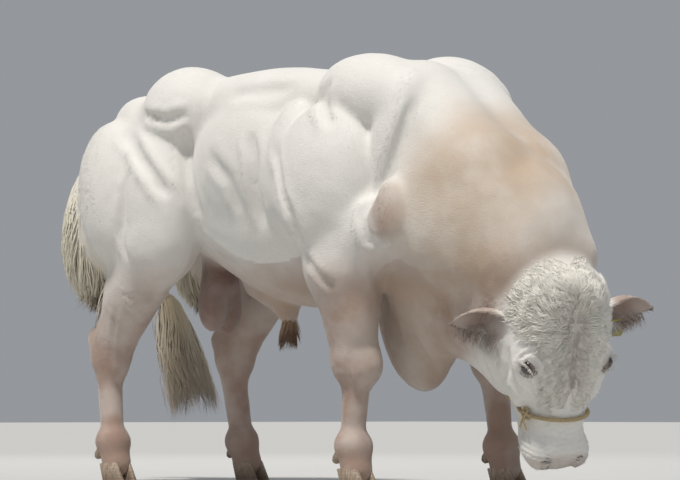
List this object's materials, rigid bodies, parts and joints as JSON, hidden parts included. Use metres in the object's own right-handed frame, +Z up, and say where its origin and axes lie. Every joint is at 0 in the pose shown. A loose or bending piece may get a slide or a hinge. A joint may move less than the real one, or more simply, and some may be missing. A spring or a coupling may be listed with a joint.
{
  "type": "belgian blue cattle",
  "caption": "Double-muscled white bull that stands and grazes with its head down, with a cord noseband and an ear tag.",
  "frame": {"origin": "centre of the bounding box at ground level, under the barrel", "axes": "+X to the head, +Y to the animal's left, +Z up; the soles stand on z = 0"},
  "size_m": [2.5937, 0.839, 1.4708],
  "materials": {
    "coat": "short white hair, longer and curly on the forehead and shaggy on the rear of the thighs",
    "hoof": "pale brown horn, dull",
    "eye": "wet dark brown eye",
    "cord": "thin twisted fibre cord",
    "tag": "olive yellow moulded plate, bare"
  },
  "bodies": {
    "root": {"claw_fore_left_inner": "hoof", "claw_fore_left_outer": "hoof", "claw_fore_right_inner": "hoof", "claw_fore_right_outer": "hoof", "claw_hind_left_inner": "hoof", "claw_hind_left_outer": "hoof", "claw_hind_right_inner": "hoof", "claw_hind_right_outer": "hoof", "dewlap": "coat", "ear_left": "coat", "ear_right": "coat", "ear_tag": "tag", "eye_left": "eye", "eye_right": "eye", "foreleg_left": "coat", "foreleg_right": "coat", "head": "coat", "neck": "coat", "noseband": "cord", "scrotum": "coat", "shank_left": "coat", "shank_right": "coat", "sheath": "coat", "sheath_tuft": "coat", "shoulder_left": "coat", "shoulder_right": "coat", "tail": "coat", "tail_switch": "coat", "thigh_left": "coat", "thigh_right": "coat", "torso": "coat"}
  },
  "joints": []
}
